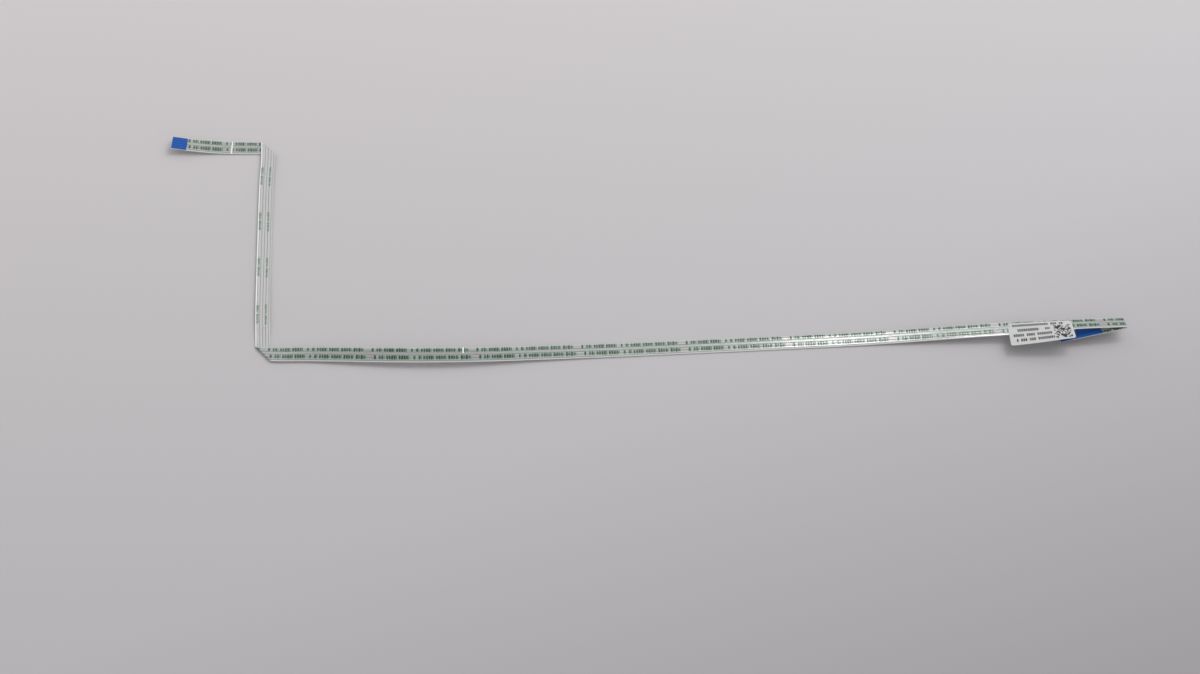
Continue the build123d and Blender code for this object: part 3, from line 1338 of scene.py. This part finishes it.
@dataclass
class Laminate:
    """The two films and the conductors between them, in mm.

    The print on the arm starts afresh, so it has rows of its own, which stop there
    because their period is longer than the ribbon.
    """

    ribbon: Ribbon
    contact: float = 4.0
    step: float = 2.0
    clearance: float = 0.002
    film: PolyesterFilm = PolyesterFilm("printed", glint_side=-1.0, glint_strength=0.35, haze=0.72)
    plain_film: PolyesterFilm = PolyesterFilm(
        "plain", glint_side=1.0, glint_strength=1.0, haze=0.50, clear="#dedddc", gap_shade="#b0b0b2"
    )
    metal: TinnedCopper = TinnedCopper()
    rows: tuple[PrintRow, ...] = (
        PrintRow(offset=1.74, first=118.6, height=1.2, start=36.0),
        PrintRow(offset=-0.82, first=119.5, height=1.35, start=36.0),
        PrintRow(offset=1.74, first=5.8, period=900.0, gap=869.0, height=1.2),
        PrintRow(offset=-0.82, first=6.2, period=900.0, gap=869.0, height=1.35),
    )
    back_rows: tuple[PrintRow, ...] = (
        PrintRow(1.75, 42.2, period=18.4, gap=10.4, height=0.8, seed=20.0, strength=0.62),
        PrintRow(-1.1, 42.9, period=18.4, gap=10.6, height=0.7, seed=40.0, strength=0.62),
        PrintRow(offset=-1.75, first=412.0, period=900.0, gap=888.0, height=1.1, seed=60.0),
    )
    # Creases, each with a white highlight painted along it.
    lines: tuple[CreaseGlint, ...] = (
        CreaseGlint(distance=21.5),
        CreaseGlint(distance=185.3, low=0.6),
    )

    def make_film(self, printed: bool) -> bpy.types.Object:
        """Make one film.

        Args:
            printed: True for the film on the printed face.

        Returns:
            The film.
        """
        section, side = self.ribbon.section, 1 if printed else -1
        start = 0.0 if printed else self.contact
        end = self.ribbon.length - (self.contact if printed else 0.0)
        blank = Blank(self.ribbon, start, end, -section.width / 2, section.width / 2)
        blank.score_along(section.lines())
        blank.score_folds()
        blank.score_across(self.step)
        for line in self.lines:
            for distance in line.scores():
                blank.cut((distance, 0), (1, 0))
        outer = blank.thicken()
        for face in blank.mesh.faces:
            inside = all(corner not in outer for corner in face.verts)
            face.material_index = Finish.INNER.value if inside else Finish.OUTER.value

        def height(corner: Corner) -> float:
            """Find a corner's height, on the outer face or round the conductors.

            Args:
                corner: The corner.

            Returns:
                Its height, in mm.
            """
            run, offset, _ = corner.co
            if corner not in outer:
                return section.pocket(offset) * side
            raised = max(line.height(run, offset) for line in self.lines) if printed else 0.0
            return (section.surface(offset) + raised) * side

        blank.carry(height)
        if printed:
            materials = [self.film.outer(self.rows, self.lines), self.film.inner()]
        else:
            materials = [self.plain_film.outer(self.back_rows, ()), self.plain_film.inner()]
        name = "printed_face_film" if printed else "plain_face_film"
        piece = blank.finish(name, materials)
        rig.replaces(piece, "printed_film" if printed else "plain_film")
        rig.slot(piece, "printed_film" if printed else "plain_film")
        return piece

    def make_conductor(self, number: int, material: bpy.types.Material) -> bpy.types.Object:
        """Make one conductor.

        Args:
            number: Its number, counted from 0 at the near edge of the printed face.
            material: Its metal.

        Returns:
            The conductor.
        """
        section = self.ribbon.section
        offset, reach = section.offsets[number], section.conductor_width / 2
        blank = Blank(self.ribbon, 0.0, self.ribbon.length, offset - reach, offset + reach)
        blank.score_folds()
        blank.score_across(self.step)
        upper = blank.thicken()
        height = section.conductor_half - self.clearance
        blank.carry(lambda corner: height if corner in upper else -height)
        piece = blank.finish(f"flat_conductor_{number + 1}", [material])
        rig.replaces(piece, f"conductor_{number + 1}")
        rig.slot(piece, "tinned_copper")
        return piece

    def build(self) -> tuple[bpy.types.Object, list[bpy.types.Object]]:
        """Make the films and the conductors.

        Returns:
            The printed film, and the rest.
        """
        printed = self.make_film(printed=True)
        rest = [self.make_film(printed=False)]
        metal = self.metal.material()
        for number in range(len(self.ribbon.section.offsets)):
            rest.append(self.make_conductor(number, metal))
        return printed, rest


@dataclass
class Stiffener:
    """A blue stiffener behind one end's contacts, in mm."""

    ribbon: Ribbon
    name: str
    node: str
    start: float
    length: float
    side: int
    thickness: float = 0.15
    margin: float = 0.2
    ridge: float = 0.6
    step: float = 1.0
    clear: float = 0.02

    def build(self, material: bpy.types.Material) -> bpy.types.Object:
        """Make the stiffener, which shows the conductors' ridges faintly.

        Args:
            material: Its material.

        Returns:
            The stiffener.
        """
        section = self.ribbon.section
        reach = section.width / 2 - self.margin
        blank = Blank(self.ribbon, self.start, self.start + self.length, -reach, reach)
        blank.score_along(line for line in section.lines() if abs(line) < reach - self.clear)
        blank.score_across(self.step)
        outer = blank.thicken()

        def height(corner: Corner) -> float:
            """Find a corner's height, on the stiffener's face or on the film.

            Args:
                corner: The corner.

            Returns:
                Its height, in mm.
            """
            if corner not in outer:
                return section.surface(corner.co.y) * self.side
            ridge = self.ridge * section.dip * (section.over_conductor(corner.co.y) - 1)
            return (section.half + self.thickness + ridge) * self.side

        blank.carry(height)
        piece = blank.finish(self.name, [material])
        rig.replaces(piece, self.node)
        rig.slot(piece, "blue_stiffener")
        return piece


@dataclass
class Label:
    """The paper label stuck across the printed face, in mm."""

    ribbon: Ribbon
    length: float = 21.6
    width: float = 9.0
    thickness: float = 0.10
    corner: float = 0.8
    corner_runs: int = 6
    step: float = 1.2
    strips: int = 8
    far_inset: float = 0.6
    to_crease: float = 17.8
    paper: LabelPaper = LabelPaper()

    def build(self) -> bpy.types.Object:
        """Make the label.

        Returns:
            The label.
        """
        section = self.ribbon.section
        end = self.ribbon.folds[-1].begin - self.to_crease
        start = end - self.length
        far = section.width / 2 - self.far_inset
        near = far - self.width
        blank = Blank(self.ribbon, start, end, near, far)
        blank.round_corners(self.corner, self.corner_runs)
        blank.score_across(self.step)
        blank.score_along(
            near + self.width * number / self.strips for number in range(1, self.strips)
        )
        upper = blank.thicken()
        for face in blank.mesh.faces:
            front = all(corner in upper for corner in face.verts)
            face.material_index = Finish.OUTER.value if front else Finish.INNER.value
        blank.carry(lambda corner: section.half + (self.thickness if corner in upper else 0.0))
        piece = blank.finish("paper_label", [self.paper.front(start, far), self.paper.back()])
        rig.replaces(piece, "label")
        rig.slot(piece, "label_paper")
        return piece


# ---------------------------------------------------------------- table, light and camera


@dataclass(frozen=True)
class Lamp:
    """A flat soft lamp that faces straight down, in metres and watts."""

    name: str
    place: tuple[float, float, float]
    size: tuple[float, float]
    watts: float

    def hang(self) -> None:
        """Put the lamp in the scene."""
        lamp = bpy.data.lights.new(self.name, "AREA")
        lamp.shape = "RECTANGLE"
        lamp.size, lamp.size_y = self.size
        lamp.energy = self.watts
        holder = bpy.data.objects.new(self.name, lamp)
        holder.location = self.place
        bpy.context.scene.collection.objects.link(holder)


@dataclass
class Studio:
    """The pale table, the soft light and the camera.

    The camera looks down at its elevation, in degrees, at a point of the route, in mm.
    The table's colour is painted light falloff, darker near the camera and lighter far off
    and to the right: table_slope weighs metres to the right and away, between the values
    in table_turns. The room's shades change with how far a direction points away from the
    camera, from -1 to 1, between the values in turns.
    """

    elevation: float = 63.7
    picture_width: float = 1200.0
    focal_pixels: float = 1900.0
    pixels_per_mm: float = 2.93
    sensor_width: float = 36.0
    look_at: Vector = field(default_factory=lambda: Vector((-12.85, -34.07, 0.0)))
    table_size: float = 3.0
    table_drop: float = 0.0002
    # Painted light falloff: the table is darker near the camera and lighter far off.
    table_near: str = "#989597"
    table_middle: str = "#bdbbbc"
    table_far: str = "#d4cfd0"
    table_slope: tuple[float, float, float] = (-0.85, 1.72, 0.0)
    table_turns: tuple[float, float, float] = (-0.44, -0.10, 0.38)
    room_side: str = "#a0a0a2"
    room_above: str = "#fbfbfd"
    above_turns: tuple[float, float] = (0.0, 0.35)
    room_far: str = "#b4b4b6"
    far_turns: tuple[float, float] = (0.70, 0.90)
    room_near: str = "#cbcbcd"
    near_turns: tuple[float, float] = (-0.14, -0.50)
    lamps: tuple[Lamp, ...] = (
        Lamp("key_lamp", place=(1.00, 0.50, 1.15), size=(1.00, 1.40), watts=10.6),
        Lamp("strip_lamp", place=(0.36, 0.40, 1.00), size=(0.40, 0.20), watts=2.30),
    )

    def place_camera(self) -> None:
        """Put the camera where the photograph was taken from."""
        data = bpy.data.cameras.new("camera")
        data.sensor_fit = "HORIZONTAL"
        data.sensor_width = self.sensor_width
        data.lens = self.sensor_width * self.focal_pixels / self.picture_width
        data.clip_start = 0.01
        camera = bpy.data.objects.new("camera", data)
        tilt = math.radians(self.elevation)
        away = self.focal_pixels / self.pixels_per_mm
        offset = Vector((0, -away * math.cos(tilt), away * math.sin(tilt)))
        camera.location = (self.look_at + TO_BOX_CENTRE + offset) * MM
        camera.rotation_euler = (math.radians(90 - self.elevation), 0, 0)
        bpy.context.scene.collection.objects.link(camera)
        bpy.context.scene.camera = camera

    def lay_table(self) -> None:
        """Lay the table top a hair under the ribbon.

        It is painted and matt, so it shows soft shadows and no reflections, and its colour
        is painted light falloff, darker near the camera and lighter far off and to the right.
        """
        mesh = bmesh.new()
        bmesh.ops.create_grid(mesh, x_segments=1, y_segments=1, size=self.table_size)
        bmesh.ops.translate(mesh, vec=(0, 0, -self.table_drop), verts=mesh.verts[:])
        data = bpy.data.meshes.new("table_top")
        mesh.to_mesh(data)
        mesh.free()
        surface = Surface("Table top, painted matt")
        # The gradient below is painted light falloff across the table.
        place = surface.add("TexCoord", output="Object")
        slope = surface.add(
            "VectorMath", (place, self.table_slope), output="Value", operation="DOT_PRODUCT"
        )
        colour = linear(self.table_near)
        for start, end, shade in zip(
            self.table_turns, self.table_turns[1:], (self.table_middle, self.table_far)
        ):
            share = surface.add("MapRange", (slope, start, end))
            colour = surface.add(
                "Mix", {0: share, 6: colour, 7: linear(shade)}, output=2, data_type="RGBA"
            )
        shader = surface.add("BsdfPrincipled", {"Base Color": colour, "Roughness": 0.85})
        data.materials.append(surface.close(shader))
        table = bpy.data.objects.new("table_top", data)
        bpy.context.scene.collection.objects.link(table)
        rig.stage(table)

    def light(self) -> None:
        """Hang the lamps, and set the room's shades."""
        for lamp in self.lamps:
            lamp.hang()
        room = Surface("pale_room", of_room=True)
        direction = room.add("TexCoord", output="Generated")
        away = room.add("SeparateXYZ", (direction,), output=1)
        colour = linear(self.room_side)
        for turns, shade in (
            (self.above_turns, self.room_above),
            (self.far_turns, self.room_far),
            (self.near_turns, self.room_near),
        ):
            share = room.add("MapRange", (away, *turns), interpolation_type="SMOOTHSTEP")
            colour = room.add(
                "Mix", {0: share, 6: colour, 7: linear(shade)}, output=2, data_type="RGBA"
            )
        bpy.context.scene.world = room.close(room.add("Background", (colour, 1.0)))
        bpy.context.scene.view_settings.view_transform = "Standard"

    def build(self) -> None:
        """Set the camera, the table and the light."""
        self.place_camera()
        self.lay_table()
        self.light()


def main() -> None:
    """Build the cable and its setting in order."""
    Studio().build()
    ribbon = Ribbon()
    ribbon.lay()
    log.info("ribbon: %.1f mm laid flat", ribbon.length)
    printed, pieces = Laminate(ribbon).build()
    blue = BlueStiffener().material()
    inset, left_length, right_length = 0.25, 5.3, 14.2
    left = Stiffener(ribbon, "left_end_stiffener", "left_stiffener", inset, left_length, 1)
    start = ribbon.length - inset - right_length
    right = Stiffener(ribbon, "right_end_stiffener", "right_stiffener", start, right_length, -1)
    pieces += [left.build(blue), right.build(blue), Label(ribbon).build()]
    line = ribbon.centre_line()
    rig.cord(
        printed,
        exit=line[0],
        length=ribbon.length * MM,
        diameter=ribbon.section.width * MM,
        far_end="bare",
        stiffness="medium",
        lay="loose",
        path=line,
        with_pieces=pieces,
    )


if __name__ == "__main__":
    main()
    visual_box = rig.bounds()
    with open("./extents.json", "w") as sizes:
        json.dump(
            {
                "cad": [[float(value) for value in corner] for corner in cad_box],
                "visual": [[float(value) for value in corner] for corner in visual_box],
            },
            sizes,
        )
